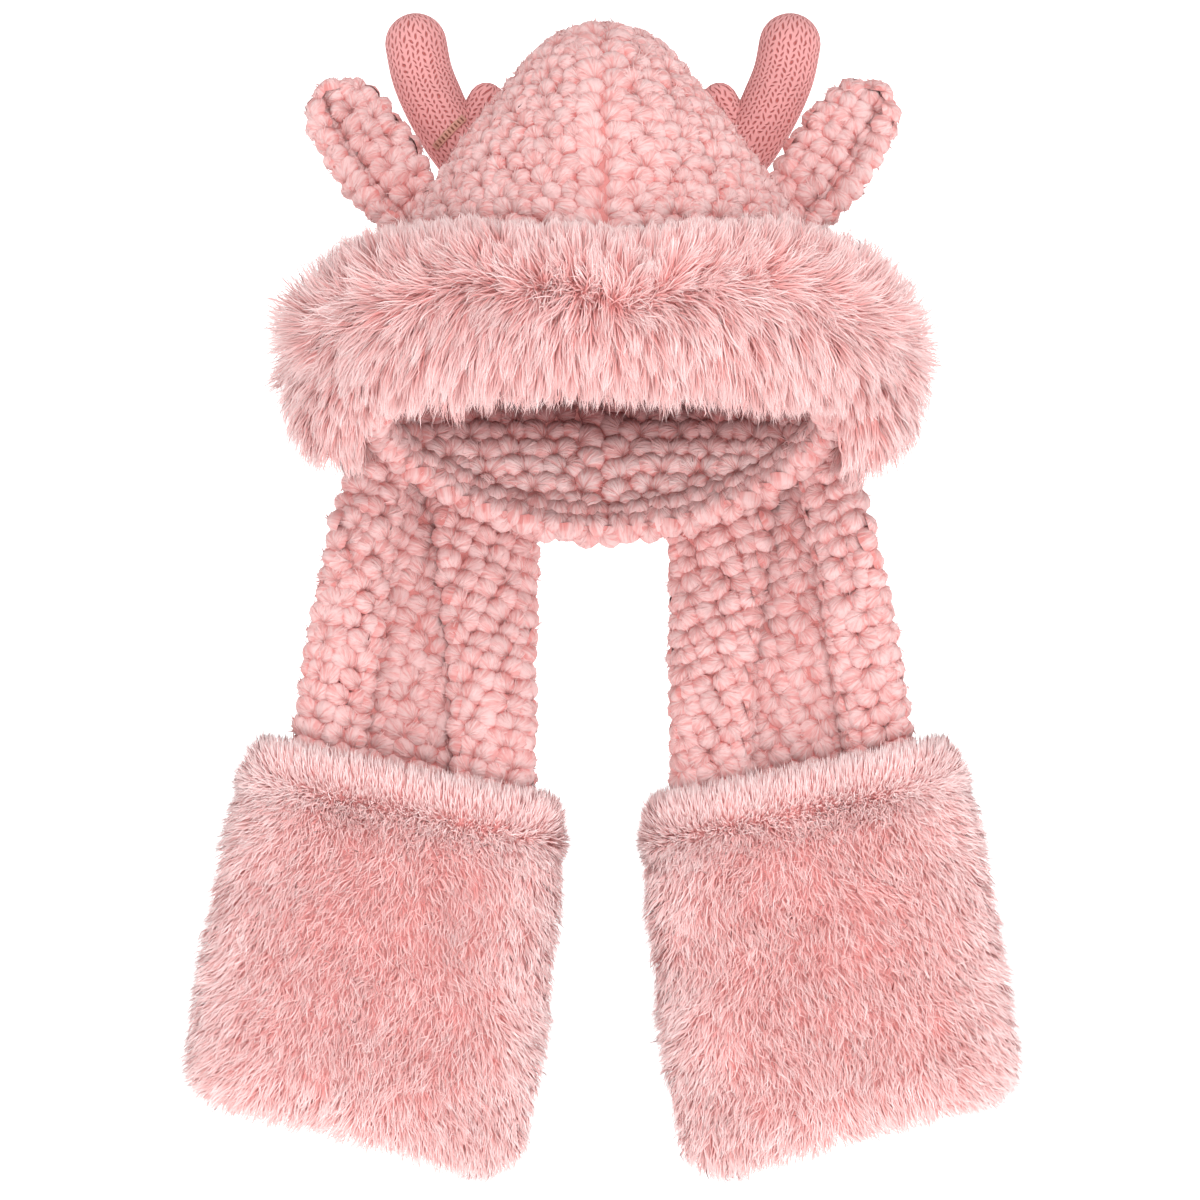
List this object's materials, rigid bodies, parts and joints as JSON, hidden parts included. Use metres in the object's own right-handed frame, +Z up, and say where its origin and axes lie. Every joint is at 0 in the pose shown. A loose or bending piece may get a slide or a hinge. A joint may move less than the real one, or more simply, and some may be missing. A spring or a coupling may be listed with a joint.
{
  "type": "animal hood scarf",
  "caption": "Bubble-fleece hood with fur brim, folded ears and knitted antlers, and scarf arms that end in fur hand pockets",
  "frame": {"origin": "inside top of the crown, where the wearer's head carries the hood", "axes": "+Z up, the face opening looks along -Y, +X to the right of someone facing the hood"},
  "size_m": [0.4696, 0.2735, 0.6796],
  "materials": {
    "fleece": "bubble fleece with small round tufts",
    "fur_backing": "knitted backing under the pile",
    "long_pile": "long soft pile, paler at the tips",
    "short_pile": "short dense pile, paler at the tips",
    "knit": "fine stocking-stitch knit, coral pink",
    "woven_tape": "plain woven tape with even stitches"
  },
  "bodies": {
    "root": {"hood": "fleece", "brim_band": "fur_backing", "brim_fur": "long_pile", "antler_tape": "woven_tape", "ear_left": "fleece", "antler_left": "knit", "arm_left": "fleece", "pocket_left": "fur_backing", "pocket_fur_left": "short_pile", "ear_right": "fleece", "antler_right": "knit", "arm_right": "fleece", "pocket_right": "fur_backing", "pocket_fur_right": "short_pile"}
  },
  "joints": []
}
